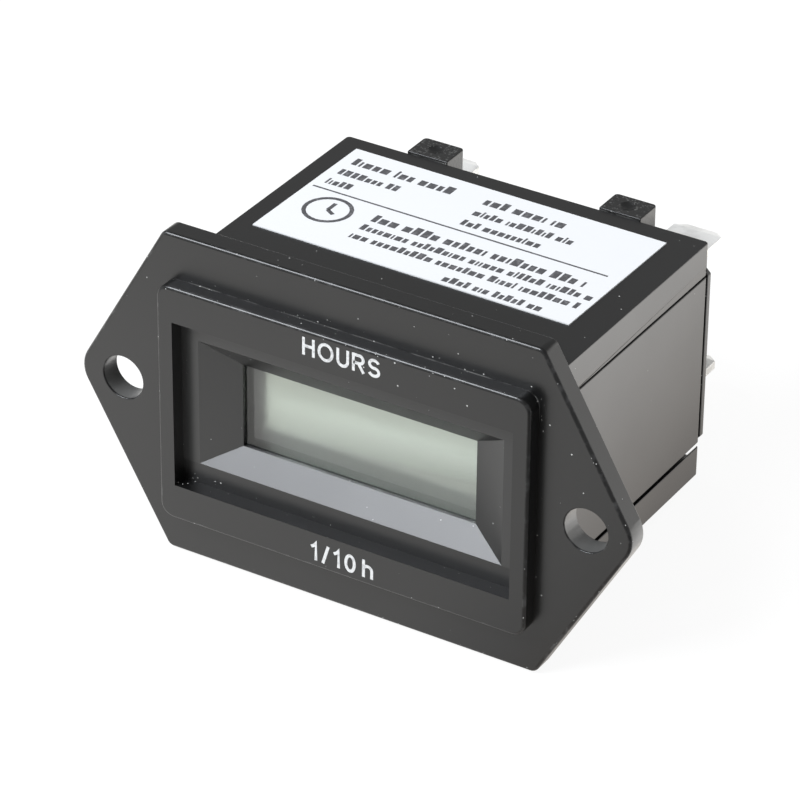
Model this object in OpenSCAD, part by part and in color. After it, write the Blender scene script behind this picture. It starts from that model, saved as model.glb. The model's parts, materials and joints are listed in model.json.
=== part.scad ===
// Panel-mounted electronic hour meter.
// The meter drops into a rectangular panel cut-out from the front, and two screws
// through the six-sided flange hold it.
// X runs to the viewer's right, Y runs back through the panel and Z is up.
// The origin is midway between the two fixing holes, on the flange's back face.

/* [Flange] */
// Height of the six-sided flange
flange_h = 31.4; // [29:0.1:36]
// Thickness of the flange
flange_t = 2.1; // [1.8:0.1:3]
// Slope of the four slanted edges, in degrees from level
flange_slant = 60; // [56:1:64]
// Distance between the centres of the two fixing holes
hole_spacing = 45.7; // [44:0.1:52]
// Diameter of each fixing hole
hole_d = 4.1; // [3.2:0.1:4.6]
// Distance from a hole's centre to the sharp point of the flange
hole_to_point = 4.65; // [4.2:0.05:6]
// Radius at the flange's two points
point_r = 2.8; // [1.5:0.1:4]
// Radius at the flange's four other corners
flange_corner_r = 0.8; // [0.3:0.1:2]

/* [Display frame] */
// Width of the raised frame
frame_w = 36.4; // [34:0.1:38]
// Height of the raised frame
frame_h = 23; // [21:0.1:25]
// How far the frame stands proud of the flange
frame_rise = 1.5; // [1:0.1:3]
// Radius of the frame's outer corners
frame_corner_r = 1.3; // [0.5:0.1:3]
// Width of the frame's left and right bars
frame_side = 1.55; // [1.2:0.05:3]
// Width of the frame's top and bottom bars
frame_bar = 3.4; // [2.6:0.1:4]
// Width of the recess floor left and right of the funnel
ledge_side = 1.65; // [0.8:0.05:2.5]
// Width of the recess floor above and below the funnel
ledge_bar = 2; // [1:0.1:2.5]
// Width of the funnel's left and right slopes
funnel_side = 3.45; // [2.5:0.05:4.5]
// Width of the funnel's top and bottom slopes
funnel_bar = 2.05; // [1.5:0.05:2.6]
// Depth of the funnel
funnel_d = 1.6; // [1:0.1:1.8]
// Straight edge between the funnel and the lens
window_land = 0.3; // [0.2:0.05:0.8]

/* [Body] */
// Width of the body behind the flange
body_w = 36.4; // [35:0.1:38]
// Height of the body behind the flange
body_h = 23.3; // [22.5:0.1:24.5]
// How far the body's middle lies above the line of the holes
body_rise = 0.25; // [0:0.05:0.4]
// Depth of the body behind the flange
body_depth = 26.9; // [25:0.1:34]
// Thickness of the top and bottom plates
plate_t = 1.6; // [1.2:0.1:1.8]
// Thickness of the side arms and of the plates' side lips
arm_t = 1.4; // [1.2:0.1:1.8]
// Height of the top plate's side lips, with the plate
top_lip_h = 3.25; // [3:0.05:4]
// Height of the bottom plate's side lips, with the plate
bottom_lip_h = 2.9; // [2.5:0.1:3.6]
// Slot between a top lip and its side arm
top_slot = 0.1; // [0.1:0.05:0.5]
// Slot between a bottom lip and its side arm
bottom_slot = 0.4; // [0.2:0.05:0.6]
// Where the slots start behind the flange
slot_root = 2; // [1.6:0.1:4]
// How far the arms end short of the plates
arm_short = 0.2; // [0.1:0.05:0.5]
// Radius of the plates' rear corners
plate_corner_r = 0.4; // [0.2:0.1:1]
// Depth of the bevel along the top lips, at the rear
top_bevel = 0.08; // [0.05:0.01:0.2]
// Height of that bevel at the flange
top_bevel_front = 0.6; // [0.3:0.05:0.8]
// Height of that bevel at the rear
top_bevel_rear = 1.05; // [0.7:0.05:1.4]
// Flat left along the top of the bevelled bottom lips
lip_land = 0.1; // [0.05:0.05:0.4]
// Width of the bevel inside the bottom lips
lip_bevel = 1; // [0.6:0.1:1.1]
// Width of each rib that centres the display holder
rib_w = 1.2; // [0.8:0.1:2]
// Distance between the two ribs of a plate
rib_pitch = 20; // [14:0.5:24]
// Least height of those ribs
rib_h = 1.4; // [1:0.1:1.8]
// Height of the catch inside each arm, up the arm
catch_h = 5; // [3:0.1:7]
// Depth of that catch along the arm
catch_d = 1.5; // [1:0.1:2]
// How far that catch reaches past the cover's outer face
catch_grip = 0.5; // [0.3:0.05:0.8]

/* [Lens and display] */
// Thickness of the clear lens
lens_t = 1; // [0.8:0.1:1.5]
// How far the lens laps behind the window's edge
lens_lap = 1.4; // [0.8:0.1:1.6]
// Clearance round the lens in its pocket
lens_fit = 0.1; // [0.05:0.05:0.2]
// Air between the lens and the display
lens_air = 0.2; // [0.1:0.05:0.5]
// Thickness of the front polarizer
polarizer_t = 0.2; // [0.15:0.05:0.3]
// How far both films end inside the edges of their glass
film_inset = 0.4; // [0.2:0.1:0.8]
// Thickness of each glass of the display
glass_t = 1.1; // [0.7:0.1:1.2]
// Thickness of the rear polarizer with its reflector
reflector_t = 0.25; // [0.2:0.05:0.4]
// Thickness of the display holder's wall
holder_wall = 1.2; // [0.8:0.1:1.4]
// Clearance between the display holder and the body
holder_fit = 0.15; // [0.1:0.05:0.3]
// Clearance round the glass in its holder
glass_fit = 0.1; // [0.05:0.05:0.2]
// Width of each rubber contact strip
strip_w = 1.6; // [1.2:0.1:1.8]
// Height of each contact strip, from glass to board
strip_h = 3; // [2.6:0.1:4]
// Clearance beside the contact strips
strip_fit = 0.15; // [0.1:0.05:0.2]

/* [Boards] */
// Thickness of both circuit boards
board_t = 1.6; // [1:0.1:2]
// How far the display board ends inside the holder's outline
board_inset = 0.3; // [0.2:0.1:0.6]
// Clearance between the power board and the cover's skirt
board_fit = 0.3; // [0.2:0.05:0.5]
// Width of the processor's package
processor_w = 9; // [7:0.1:10]
// Thickness of the processor's package
processor_t = 1.4; // [1:0.1:1.6]
// Length of the memory chip's package
memory_l = 4.9; // [4:0.1:5.5]
// Width of the memory chip's package
memory_w = 3.9; // [3:0.1:4.5]
// Thickness of the memory chip's package
memory_t = 1.5; // [1:0.1:1.7]
// Diameter of the timing crystal's can
crystal_d = 2; // [1.5:0.1:2.1]
// Length of the timing crystal's can
crystal_l = 6; // [5:0.1:7]
// Thickness of the square link pins
pin_w = 0.64; // [0.5:0.02:0.8]
// Distance from one link pin to the next
pin_pitch = 2.54; // [2:0.01:2.54]
// Number of link pins
pin_count = 4; // [2:1:4]
// Diameter of the reservoir capacitor
capacitor_d = 8; // [5:0.1:8]
// Air between the capacitor's end and the display board
capacitor_air = 2.7; // [2.4:0.1:4]
// Length of the bridge rectifier
rectifier_l = 8.3; // [6:0.1:8.6]
// Width of the bridge rectifier
rectifier_w = 6.4; // [5:0.1:7]
// Thickness of the bridge rectifier
rectifier_t = 2.6; // [2:0.1:3]
// Diameter of each dropper resistor
resistor_d = 3; // [2:0.1:3.2]
// Length of each dropper resistor
resistor_l = 8; // [6:0.1:8.5]
// Length of the clamp diode
diode_l = 4.3; // [3:0.1:5]
// Width of the clamp diode
diode_w = 2.6; // [2:0.1:3]
// Thickness of the clamp diode
diode_t = 2.2; // [1.5:0.1:2.5]

/* [Rear cover] */
// Clearance between the rear cover and the body
cover_fit = 0.2; // [0.1:0.05:0.3]
// Thickness of the cover's rear wall inside the body
plug_t = 2; // [1.6:0.1:3]
// Thickness of the cover's skirt
skirt_t = 1; // [0.8:0.1:1.2]
// Thickness of the cover's rim behind the arms
rim_t = 0.6; // [0.5:0.05:1]
// Gap between the arms' ends and the rim
rim_gap = 0.25; // [0.1:0.05:0.5]
// Chamfer at the rim's corners
rim_chamfer = 0.45; // [0.2:0.05:0.8]
// Length of the four legs that press the display board home
leg_l = 5; // [3:0.1:7]
// Width of those legs
leg_w = 2.2; // [1.6:0.1:2.4]
// Length of the posts behind the power board
post_l = 2.7; // [2:0.1:3.5]
// Width of those posts
post_w = 1.5; // [1.2:0.1:1.8]
// Width of each stop lug
lug_w = 4.1; // [3:0.1:5]
// Depth of each stop lug behind the plate
lug_d = 3.1; // [2:0.1:4]
// How far the lugs stand above the top plate
lug_rise = 0.2; // [0:0.05:0.3]
// Radius of each lug's rear corners
lug_corner_r = 0.4; // [0.2:0.1:0.8]
// Distance between the middles of the two lugs
lug_pitch = 19.4; // [16:0.1:24]
// How far the pair of lugs lies right of the middle
lug_shift = -0.3; // [-0.5:0.1:0.5]
// Diameter of the sink mark on top of each lug
sink_d = 1.6; // [1:0.1:2.4]
// Depth of that sink mark
sink_depth = 0.3; // [0.1:0.05:0.5]

/* [Terminals] */
// Width of each blade terminal
blade_w = 4.8; // [4:0.1:4.8]
// Thickness of each blade terminal
blade_t = 0.8; // [0.5:0.1:1]
// How far the blades reach behind the plates
blade_out = 10.1; // [7:0.1:11]
// Corner cut at a blade's tip
blade_tip = 0.9; // [0.4:0.1:1.2]
// Diameter of the detent hole in a blade
blade_hole_d = 1.5; // [1:0.1:1.8]
// Distance from the blade's tip to that hole
blade_hole_back = 3.2; // [2.6:0.1:4]
// How far a blade's shoulder stands out on each side
blade_shoulder = 0.5; // [0.3:0.05:0.6]
// Width of the blade's tail in the power board
blade_tail_w = 3; // [2:0.1:3.6]
// How far the tail stands out of the power board
blade_tail_out = 0.8; // [0.4:0.1:1.2]
// Distance between the upper and the lower blades
blade_pitch = 12.6; // [11:0.1:13.2]
// How far the middle of the blades lies above the line of the holes
blade_rise = 0.3; // [0:0.1:0.6]
// Clearance round each blade in the cover and the board
blade_fit = 0.1; // [0.05:0.05:0.2]
// Gap between a blade's shoulder and the cover's skirt
blade_side_gap = 0.35; // [0.2:0.05:0.8]

/* [Label] */
// Length of the label across the top plate
label_w = 31.4; // [20:0.1:33]
// Depth of the label along the top plate
label_d = 16.5; // [10:0.1:18]
// Thickness of the label
label_t = 0.1; // [0.05:0.05:0.2]
// How far the label's middle lies right of the meter's middle
label_shift = -0.55; // [-1:0.05:1]
// Distance from the label's middle to the plate's rear edge
label_from_rear = 10.3; // [9.5:0.1:13]
// Turn of the label, in degrees
label_turn = -0.7; // [-1.5:0.1:1.5]

/* [Hidden] */
$fn = 48;
// Overlap that makes cuts run clear and joined shapes fuse
eps = 0.05;

// Places along Y, from the front face to the tips of the blades
flange_front = -flange_t;
frame_front = flange_front - frame_rise;
funnel_back = flange_front + funnel_d;
lens_front = funnel_back + window_land;
lens_back = lens_front + lens_t;
wall_back = lens_back + lens_air;
glass_front = wall_back + polarizer_t;
glass_mid = glass_front + glass_t;
glass_back = glass_mid + glass_t;
reflector_back = glass_back + reflector_t;
display_front = glass_mid + strip_h;
display_back = display_front + board_t;
skirt_front = display_back + leg_l;
arm_end = body_depth - arm_short;
rim_front = arm_end + rim_gap;
rim_back = rim_front + rim_t;
plug_front = body_depth - plug_t;
power_back = plug_front - post_l;
power_front = power_back - board_t;
blade_end = body_depth + blade_out;

// Half sizes and heights of the flange and the display frame
point_x = hole_spacing / 2 + hole_to_point;
flat_x = point_x - flange_h / 2 / tan(flange_slant);
recess_x = frame_w / 2 - frame_side;
recess_z = frame_h / 2 - frame_bar;
funnel_x = recess_x - ledge_side;
funnel_z = recess_z - ledge_bar;
window_x = funnel_x - funnel_side;
window_z = funnel_z - funnel_bar;
lens_x = window_x + lens_lap;
lens_z = window_z + lens_lap;

// Body: outer faces, inner faces and slots
body_x = body_w / 2;
body_top = body_rise + body_h / 2;
body_bottom = body_rise - body_h / 2;
inner_x = body_x - arm_t;
inner_top = body_top - plate_t;
inner_bottom = body_bottom + plate_t;
top_lip_z = body_top - top_lip_h;
bottom_lip_z = body_bottom + bottom_lip_h;
arm_top = top_lip_z - top_slot;
arm_bottom = bottom_lip_z + bottom_slot;
bevel_rise = atan((top_bevel_rear - top_bevel_front) / body_depth);
bevel_lean = atan(top_bevel / top_bevel_rear);

// Display holder and glass, centred on the window
holder_x = inner_x - holder_fit;
holder_z = min(inner_top, -inner_bottom) - rib_h - holder_fit;
pocket_x = holder_x - holder_wall;
pocket_z = holder_z - holder_wall;
glass_x = pocket_x - glass_fit;
front_glass_z = pocket_z - glass_fit;
strip_z = front_glass_z - strip_fit - strip_w / 2;
rear_glass_z = strip_z - strip_w / 2 - strip_fit;
strip_x = glass_x - strip_fit;

// Rear cover
cover_x = inner_x - cover_fit;
cover_top = inner_top - cover_fit;
cover_bottom = inner_bottom + cover_fit;
skirt_x = cover_x - skirt_t;
skirt_top = cover_top - skirt_t;
skirt_bottom = cover_bottom + skirt_t;
rim_top = arm_top + rim_chamfer;
catch_y = plug_front - catch_d - cover_fit;
catch_mid = (arm_top + arm_bottom) / 2;

// Blades: plan places, left and right, up and down
shoulder_w = blade_w + 2 * blade_shoulder;
blade_x = skirt_x - blade_side_gap - shoulder_w / 2;
blade_top_z = blade_rise + blade_pitch / 2;
blade_bottom_z = blade_rise - blade_pitch / 2;
lug_bottom = blade_top_z + blade_t / 2 + 4 * blade_fit;

// Places of the parts on the boards
board_x = holder_x - board_inset;
board_z = holder_z - board_inset;
power_x = skirt_x - board_fit;
power_top = skirt_top - board_fit;
power_bottom = skirt_bottom + board_fit;
link_x = -blade_x + blade_tail_w / 2;
pin_hole_d = pin_w * sqrt(2) + 0.2;
header_w = pin_pitch;
memory_x = 8.2;
memory_z = 3;
crystal_z = -3.2;
capacitor_x = 5;
capacitor_z = -3.2;
rectifier_x = -4.4;
rectifier_z = 3.4;
diode_x = -4;
diode_z = -4;
resistor_x = 5.2;
resistor_z = [3.2, 6.8];
lead_w = 0.4;
lead_t = 0.2;
wire_d = 0.6;

black_plastic = "#2b2c2e";
tinned_brass = "#c9c8c2";
board_green = "#2f6b3a";
chip_black = "#1d1e20";

// Box between two opposite corners
module box(low, high) {
    translate(low)
        cube(high - low);
}

// Upright outline, drawn in X and Z, made solid from y0 back to y1
module slab(y0, y1) {
    translate([0, y1, 0])
        rotate([90, 0, 0])
            linear_extrude(y1 - y0)
                children();
}

// Solid the same on the left and on the right
module both_sides() {
    children();
    mirror([1, 0, 0])
        children();
}

// Rectangle about the middle with round corners
module round_rectangle(half_x, half_z, r) {
    square([2 * half_x, 2 * (half_z - r)], center = true);
    square([2 * (half_x - r), 2 * half_z], center = true);
    for (x = [-1, 1], z = [-1, 1])
        translate([x * (half_x - r), z * (half_z - r)])
            circle(r);
}

// Long hexagon with round corners, a larger radius at its two points
module flange_outline() {
    half_h = flange_h / 2;
    // From a sharp corner to the touching points of its arc, along each edge
    corner_run = flange_corner_r * tan(flange_slant / 2);
    point_run = point_r / tan(flange_slant);
    slope = [cos(flange_slant), -sin(flange_slant)];
    top_in = [flat_x - corner_run, half_h];
    top_out = [flat_x, half_h] + corner_run * slope;
    point_in = [point_x, 0] - point_run * slope;
    right = [top_in, top_out, point_in, [point_in[0], -point_in[1]],
             [top_out[0], -top_out[1]], [top_in[0], -top_in[1]]];
    left = [for (i = [len(right) - 1 : -1 : 0]) [-right[i][0], right[i][1]]];
    polygon(concat(right, left));
    for (x = [-1, 1]) {
        translate([x * (point_x - point_r / sin(flange_slant)), 0])
            circle(point_r);
        for (z = [-1, 1])
            translate([x * top_in[0], z * (half_h - flange_corner_r)])
                circle(flange_corner_r);
    }
}

// Four-sided funnel: a wedge in plan and a wedge in side view, crossed
module funnel() {
    intersection() {
        translate([0, 0, -funnel_z])
            linear_extrude(2 * funnel_z)
                polygon([[-funnel_x, flange_front], [funnel_x, flange_front],
                         [window_x, funnel_back], [-window_x, funnel_back]]);
        translate([-funnel_x, 0, 0])
            rotate([90, 0, 90])
                linear_extrude(2 * funnel_x)
                    polygon([[flange_front, -funnel_z], [funnel_back, -window_z],
                             [funnel_back, window_z], [flange_front, funnel_z]]);
    }
}

// Plan of the body, with its two rear corners rounded
module body_plan() {
    r = plate_corner_r;
    translate([-body_x, -eps])
        square([body_w, body_depth - r + eps]);
    translate([-body_x + r, 0])
        square([body_w - 2 * r, body_depth]);
    for (x = [-1, 1])
        translate([x * (body_x - r), body_depth - r])
            circle(r);
}

// Wedge inside an arm that snaps into the cover's skirt
module arm_catch() {
    reach = cover_fit + catch_grip;
    translate([0, 0, catch_mid - catch_h / 2])
        linear_extrude(catch_h)
            polygon([[inner_x + eps, catch_y], [inner_x - reach, catch_y],
                     [inner_x + eps, catch_y + catch_d]]);
}

// Rib that fills the space between a plate and the display holder
module holder_rib(x, z0, z1) {
    box([x - rib_w / 2, wall_back - eps, z0], [x + rib_w / 2, display_back, z1]);
}

// Space inside the body, the slots that free the two arms, and the bevels along the lips
module body_hollow() {
    rear = body_depth + 1;
    box([-inner_x, wall_back, inner_bottom], [inner_x, rear, inner_top]);
    both_sides() {
        box([inner_x - eps, slot_root, arm_top], [body_x + 1, rear, top_lip_z]);
        box([inner_x - eps, slot_root, bottom_lip_z], [body_x + 1, rear, arm_bottom]);
        box([inner_x - eps, arm_end, bottom_lip_z], [body_x + 1, rear, rim_top]);
        // Bevel along the top lip, which grows towards the rear
        intersection() {
            box([inner_x, slot_root, arm_top], [body_x + 1, rear, body_top]);
            translate([body_x, slot_root, top_lip_z + top_bevel_front])
                rotate([bevel_rise, 0, 0])
                    rotate([0, bevel_lean, 0])
                        translate([0, -1, -plate_t])
                            cube([1, rear, plate_t]);
        }
        // Bevel that leads the cover in past the bottom lip
        slab(slot_root, rear)
            polygon([[body_x - lip_land, bottom_lip_z + eps], [inner_x - eps, bottom_lip_z + eps],
                     [inner_x - eps, inner_bottom], [body_x - lip_land - lip_bevel, inner_bottom],
                     [body_x - lip_land, bottom_lip_z]]);
    }
}

// One moulding: flange, display frame, funnel, top and bottom plates and the two side arms
module front_housing() {
    color(black_plastic)
    difference() {
        union() {
            slab(flange_front, 0)
                flange_outline();
            slab(frame_front, flange_front + eps)
                round_rectangle(frame_w / 2, frame_h / 2, frame_corner_r);
            difference() {
                translate([0, 0, body_bottom])
                    linear_extrude(body_h)
                        body_plan();
                body_hollow();
            }
            both_sides() {
                arm_catch();
                holder_rib(rib_pitch / 2, holder_z + holder_fit, inner_top + eps);
                holder_rib(rib_pitch / 2, inner_bottom - eps, -holder_z - holder_fit);
            }
        }
        box([-recess_x, frame_front - 1, -recess_z], [recess_x, flange_front, recess_z]);
        funnel();
        box([-window_x, funnel_back - eps, -window_z], [window_x, wall_back + eps, window_z]);
        box([-lens_x - lens_fit, lens_front, -lens_z - lens_fit],
            [lens_x + lens_fit, wall_back + eps, lens_z + lens_fit]);
        for (x = [-1, 1])
            translate([x * hole_spacing / 2, eps, 0])
                rotate([90, 0, 0])
                    cylinder(d = hole_d, h = flange_t + 2 * eps);
    }
}

// Outline of the rim behind the arms, with its four corners cut
module rim_outline() {
    x = body_x;
    c = rim_chamfer;
    z0 = arm_bottom;
    z1 = rim_top;
    polygon([[x, z0 + c], [x, z1 - c], [x - c, z1], [-x + c, z1],
             [-x, z1 - c], [-x, z0 + c], [-x + c, z0], [x - c, z0]]);
}

// Block on the rear wall that stops against the top plate's edge, with a sink mark on top
module stop_lug(x) {
    lug_front = rim_front;
    lug_back = body_depth + lug_d;
    lug_top = body_top + lug_rise;
    r = lug_corner_r;
    sink_r = (pow(sink_d / 2, 2) + pow(sink_depth, 2)) / (2 * sink_depth);
    difference() {
        translate([x, 0, lug_bottom])
            linear_extrude(lug_top - lug_bottom) {
                translate([-lug_w / 2, lug_front])
                    square([lug_w, lug_back - r - lug_front]);
                translate([-lug_w / 2 + r, lug_front])
                    square([lug_w - 2 * r, lug_back - lug_front]);
                for (side = [-1, 1])
                    translate([side * (lug_w / 2 - r), lug_back - r])
                        circle(r);
            }
        translate([x, (lug_front + lug_back) / 2, lug_top + sink_r - sink_depth])
            sphere(sink_r);
    }
}

// Snap-in moulding: rear wall, skirt, legs for the display board and posts for the power board
module rear_cover() {
    color(black_plastic)
    difference() {
        union() {
            slab(rim_front, rim_back)
                rim_outline();
            box([-cover_x, plug_front, cover_bottom], [cover_x, rim_front + eps, cover_top]);
            difference() {
                box([-cover_x, skirt_front, cover_bottom], [cover_x, plug_front + eps, cover_top]);
                box([-skirt_x, skirt_front - 1, skirt_bottom], [skirt_x, plug_front + 1, skirt_top]);
            }
            both_sides()
                for (z = [[skirt_bottom - eps, -board_z + leg_w], [board_z - leg_w, skirt_top + eps]])
                    box([board_x - leg_w, display_back, z[0]], [skirt_x + eps, skirt_front + leg_w, z[1]]);
            both_sides()
                for (z = [[skirt_bottom - eps, skirt_bottom + post_w], [skirt_top - post_w, skirt_top + eps]])
                    box([skirt_x - post_w, power_back, z[0]], [skirt_x + eps, plug_front + eps, z[1]]);
            for (side = [-1, 1])
                stop_lug(lug_shift + side * lug_pitch / 2);
        }
        for (x = [-blade_x, blade_x], z = [blade_bottom_z, blade_top_z])
            box([x - blade_w / 2 - blade_fit, plug_front - eps, z - blade_t / 2 - blade_fit],
                [x + blade_w / 2 + blade_fit, rim_back + eps, z + blade_t / 2 + blade_fit]);
        // Windows that the arms' catches snap into
        both_sides()
            box([skirt_x - eps, catch_y - cover_fit, catch_mid - catch_h / 2 - cover_fit],
                [cover_x + eps, plug_front, catch_mid + catch_h / 2 + cover_fit]);
    }
}

// Clear pane behind the window
module window_lens() {
    color("#dfe6e6", 0.4)
        box([-lens_x, lens_front, -lens_z], [lens_x, lens_back, lens_z]);
}

// Polarizing film on the front of the display
module lcd_front_polarizer() {
    color("#aab2a4")
        box([-glass_x + film_inset, wall_back, -front_glass_z + film_inset],
            [glass_x - film_inset, glass_front, front_glass_z - film_inset]);
}

// Front glass, taller than the rear one, so that its contacts face back along both edges
module lcd_front_glass() {
    color("#c3d2c8", 0.6)
        box([-glass_x, glass_front, -front_glass_z], [glass_x, glass_mid, front_glass_z]);
}

module lcd_rear_glass() {
    color("#bccabf", 0.6)
        box([-glass_x, glass_mid, -rear_glass_z], [glass_x, glass_back, rear_glass_z]);
}

// Rear polarizer with its reflecting layer
module lcd_reflector() {
    color("#b9bdb0")
        box([-glass_x + film_inset, glass_back, -rear_glass_z + film_inset],
            [glass_x - film_inset, reflector_back, rear_glass_z - film_inset]);
}

// Frame that holds glass and contact strips square between the front wall and the board
module lcd_holder() {
    color("#d9d9d4")
    difference() {
        box([-holder_x, wall_back, -holder_z], [holder_x, display_front, holder_z]);
        box([-pocket_x, wall_back - 1, -pocket_z], [pocket_x, display_front + 1, pocket_z]);
    }
}

// Rubber strip with conducting layers, pressed between glass and board
module contact_strip(z) {
    color("#8e5a5f")
        box([-strip_x, glass_mid, z - strip_w / 2], [strip_x, display_front, z + strip_w / 2]);
}

module contact_strip_upper() {
    contact_strip(strip_z);
}

module contact_strip_lower() {
    contact_strip(-strip_z);
}

// Round holes for the link pins
module link_holes(y0, y1) {
    for (i = [0 : pin_count - 1])
        translate([link_x, y1 + eps, (i - (pin_count - 1) / 2) * pin_pitch])
            rotate([90, 0, 0])
                cylinder(d = pin_hole_d, h = y1 - y0 + 2 * eps);
}

module display_board() {
    color(board_green)
    difference() {
        box([-board_x, display_front, -board_z], [board_x, display_back, board_z]);
        link_holes(display_front, display_back);
    }
}

// Flat chip on the display board's back, with bent leads along its upper and lower edges
module chip(x, z, w, h, t, leads, pitch) {
    foot = 0.8;
    color(chip_black)
        box([x - w / 2, display_back + lead_t / 2, z - h / 2], [x + w / 2, display_back + t, z + h / 2]);
    color(tinned_brass)
        for (side = [-1, 1], i = [0 : leads - 1])
            translate([x + (i - (leads - 1) / 2) * pitch, 0, z + side * h / 2]) {
                box([-lead_w / 2, display_back, side > 0 ? foot / 2 : -foot],
                    [lead_w / 2, display_back + lead_t, side > 0 ? foot : -foot / 2]);
                box([-lead_w / 2, display_back, side > 0 ? foot / 2 - lead_t : -foot / 2],
                    [lead_w / 2, display_back + t / 2, side > 0 ? foot / 2 : -foot / 2 + lead_t]);
                box([-lead_w / 2, display_back + t / 2 - lead_t, side > 0 ? -eps : -foot / 2],
                    [lead_w / 2, display_back + t / 2, side > 0 ? foot / 2 : eps]);
            }
}

module processor_chip() {
    chip(0, 0, processor_w, processor_w, processor_t, 11, 0.8);
}

module memory_chip() {
    chip(memory_x, memory_z, memory_l, memory_w, memory_t, 4, 1.27);
}

// Small can lying on the display board, with its base disc at one end
module timing_crystal() {
    base_t = 0.5;
    color("silver")
        translate([memory_x - crystal_l / 2, display_back + crystal_d / 2, crystal_z])
            rotate([0, 90, 0]) {
                cylinder(d = crystal_d * 0.9, h = crystal_l);
                cylinder(d = crystal_d, h = base_t);
            }
}

// Strip that holds the link pins against the display board
module link_header() {
    color(chip_black)
    difference() {
        box([link_x - header_w / 2, display_back, -pin_count * pin_pitch / 2],
            [link_x + header_w / 2, display_back + header_w, pin_count * pin_pitch / 2]);
        for (i = [0 : pin_count - 1])
            translate([link_x, 0, (i - (pin_count - 1) / 2) * pin_pitch])
                box([-pin_w / 2, display_back - eps, -pin_w / 2],
                    [pin_w / 2, display_back + header_w + eps, pin_w / 2]);
    }
}

// Square pins that join the two boards
module link_pins() {
    out = 0.6;
    color(tinned_brass)
        for (i = [0 : pin_count - 1])
            translate([link_x, 0, (i - (pin_count - 1) / 2) * pin_pitch])
                box([-pin_w / 2, display_front, -pin_w / 2], [pin_w / 2, power_back + out, pin_w / 2]);
}

module power_board() {
    color(board_green)
    difference() {
        box([-power_x, power_front, power_bottom], [power_x, power_back, power_top]);
        link_holes(power_front, power_back);
        for (x = [-blade_x, blade_x], z = [blade_bottom_z, blade_top_z])
            box([x - blade_tail_w / 2 - blade_fit, power_front - eps, z - blade_t / 2 - blade_fit],
                [x + blade_tail_w / 2 + blade_fit, power_back + eps, z + blade_t / 2 + blade_fit]);
    }
}

// Four-legged block on the power board's front
module bridge_rectifier() {
    foot = 1.2;
    color(chip_black)
        box([rectifier_x - rectifier_l / 2, power_front - rectifier_t, rectifier_z - rectifier_w / 2],
            [rectifier_x + rectifier_l / 2, power_front - lead_t / 2, rectifier_z + rectifier_w / 2]);
    color(tinned_brass)
        for (x = [-1, 1], z = [-1, 1])
            translate([rectifier_x + x * rectifier_l / 4, power_front - lead_t,
                       rectifier_z + z * (rectifier_w / 2 - eps)])
                box([-foot / 2, 0, z > 0 ? 0 : -foot / 2], [foot / 2, lead_t, z > 0 ? foot / 2 : 0]);
}

// Can with a crimped groove near its sealed end, standing on the power board
module reservoir_capacitor() {
    r = capacitor_d / 2;
    l = power_front - display_back - capacitor_air;
    groove = 0.3;
    color("#2a3550")
        translate([capacitor_x, power_front, capacitor_z])
            rotate([90, 0, 0])
                rotate_extrude()
                    polygon([[0, 0], [r - groove, 0], [r, groove], [r, 1.4], [r - groove, 1.8],
                             [r, 2.2], [r, l - groove], [r - groove, l], [0, l]]);
}

// Two resistors lying on the power board, on bent wire ends
module dropper_resistors() {
    cap_l = 1.6;
    for (z = resistor_z)
        translate([resistor_x, power_front - resistor_d / 2 - lead_w, z])
            rotate([0, 90, 0]) {
                color("#b8a27c")
                    translate([0, 0, -resistor_l / 2]) {
                        cylinder(d = resistor_d * 0.9, h = resistor_l);
                        cylinder(d = resistor_d, h = cap_l);
                        translate([0, 0, resistor_l - cap_l])
                            cylinder(d = resistor_d, h = cap_l);
                    }
                color(tinned_brass)
                    for (side = [-1, 1])
                        translate([0, 0, side * (resistor_l / 2 - wire_d)])
                            rotate([-90, 0, 0])
                                cylinder(d = wire_d, h = resistor_d / 2 + lead_w);
            }
}

module clamp_diode() {
    foot = 0.8;
    color(chip_black)
        box([diode_x - diode_l / 2, power_front - diode_t, diode_z - diode_w / 2],
            [diode_x + diode_l / 2, power_front - lead_t / 2, diode_z + diode_w / 2]);
    color(tinned_brass)
        box([diode_x - diode_l / 2 - foot / 2, power_front - lead_t, diode_z - diode_w / 4],
            [diode_x + diode_l / 2 + foot / 2, power_front, diode_z + diode_w / 4]);
}

// Flat blade: cut and bevelled tip, detent hole, shoulders inside the cover, tail in the board
module blade(x, z) {
    half = blade_w / 2;
    tip_t = blade_t / 4;
    tail_end = power_front - blade_tail_out;
    color(tinned_brass)
    translate([x, 0, z])
        difference() {
            intersection() {
                translate([0, 0, -blade_t / 2])
                    linear_extrude(blade_t)
                        polygon([[-blade_tail_w / 2, tail_end], [blade_tail_w / 2, tail_end],
                                 [blade_tail_w / 2, power_back], [shoulder_w / 2, power_back],
                                 [shoulder_w / 2, plug_front], [half, plug_front],
                                 [half, blade_end - blade_tip], [half - blade_tip, blade_end],
                                 [blade_tip - half, blade_end], [-half, blade_end - blade_tip],
                                 [-half, plug_front], [-shoulder_w / 2, plug_front],
                                 [-shoulder_w / 2, power_back], [-blade_tail_w / 2, power_back]]);
                translate([-shoulder_w / 2 - 1, 0, 0])
                    rotate([90, 0, 90])
                        linear_extrude(shoulder_w + 2)
                            polygon([[tail_end - 1, -blade_t / 2], [blade_end - blade_tip, -blade_t / 2],
                                     [blade_end, -tip_t], [blade_end, tip_t],
                                     [blade_end - blade_tip, blade_t / 2], [tail_end - 1, blade_t / 2]]);
            }
            translate([0, blade_end - blade_hole_back, -blade_t])
                cylinder(d = blade_hole_d, h = 2 * blade_t);
        }
}

module blade_upper_left() {
    blade(-blade_x, blade_top_z);
}

module blade_upper_right() {
    blade(blade_x, blade_top_z);
}

module blade_lower_left() {
    blade(-blade_x, blade_bottom_z);
}

module blade_lower_right() {
    blade(blade_x, blade_bottom_z);
}

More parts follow.
